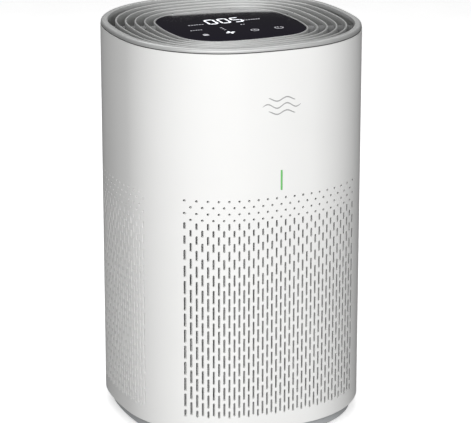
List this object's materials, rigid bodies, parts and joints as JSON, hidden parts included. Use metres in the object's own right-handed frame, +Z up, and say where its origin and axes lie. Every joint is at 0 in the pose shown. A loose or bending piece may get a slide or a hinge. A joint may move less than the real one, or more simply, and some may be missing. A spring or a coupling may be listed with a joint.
{
  "type": "air purifier",
  "caption": "Upright rounded-square air purifier with perforated walls, cylindrical filter, centrifugal fan, louvred top outlet and a dark touch display.",
  "frame": {"origin": "on the floor, under the middle of the tower", "axes": "+Z up along the tower; the front, with the status light, faces -Y"},
  "size_m": [0.25, 0.25, 0.402],
  "materials": {
    "white_shell": "satin moulded white",
    "silver": "satin silver paint on plastic",
    "dark_lens": "gloss near-black",
    "grey_base": "fine matt grey",
    "rubber_foot": "matt",
    "dark_plastic": "matt dark grey",
    "black_plastic": "matt black",
    "filter_media": "pleated nonwoven",
    "carbon": "pellets in mesh",
    "mesh_grey": "fine mesh",
    "foam": "closed-cell foam",
    "ribbon": "woven ribbon",
    "steel": "zinc plated",
    "core_steel": "laminated",
    "copper": "enamelled wire",
    "board_green": "solder mask",
    "light_green": "translucent green",
    "spring_steel": "bright"
  },
  "bodies": {
    "root": {"outer_shell": "white_shell", "top_rim": "silver", "outlet_grille": "silver", "display_lens": "dark_lens", "display_tray": "black_plastic", "display_board": "board_green", "digit_module": "black_plastic", "touch_springs": "spring_steel", "tray_screws": "steel", "light_pipe": "light_green", "status_led_board": "board_green", "outlet_duct": "dark_plastic", "fan_deck": "dark_plastic", "inlet_bellmouth": "dark_plastic", "inlet_guard": "black_plastic", "interlock_switch": "black_plastic", "fan_housing": "dark_plastic", "motor_mount": "dark_plastic", "motor_board": "board_green", "motor_cap": "dark_plastic", "bearing_lower": "steel", "bearing_upper": "steel", "stator_core": "core_steel", "stator_coils": "copper", "power_board": "board_green", "air_sensor": "black_plastic", "base_ring": "grey_base", "cord_gland": "black_plastic", "foot_front_left": "rubber_foot", "foot_front_right": "rubber_foot", "foot_rear_left": "rubber_foot", "foot_rear_right": "rubber_foot", "base_screws": "steel", "deck_screws": "steel", "housing_screws": "steel", "duct_screws": "steel"},
    "fan_rotor": {"impeller": "black_plastic", "impeller_nut": "steel", "motor_shaft": "steel", "rotor_can": "steel", "rotor_magnets": "core_steel", "shaft_clip": "spring_steel"},
    "filter_cartridge": {"filter_bottom_cap": "black_plastic", "filter_top_cap": "black_plastic", "prefilter_mesh": "mesh_grey", "pleated_media": "filter_media", "carbon_layer": "carbon", "filter_gasket": "foam", "pull_tab": "ribbon"},
    "filter_cover": {"bottom_cover": "grey_base"}
  },
  "joints": [
    {"name": "fan_spin", "type": "hinge", "parent": "root", "child": "fan_rotor", "pos_m": [0, 0, 0.26], "axis": [0, 0, 1], "continuous": true},
    {"name": "filter_drop", "type": "slide", "parent": "root", "child": "filter_cartridge", "axis": [0, 0, -1], "range_m": [0, 0.24]},
    {"name": "cover_turn", "type": "hinge", "parent": "filter_cartridge", "child": "filter_cover", "pos_m": [0, 0, 0.0033], "axis": [0, 0, 1], "range_deg": [0, 20]}
  ]
}
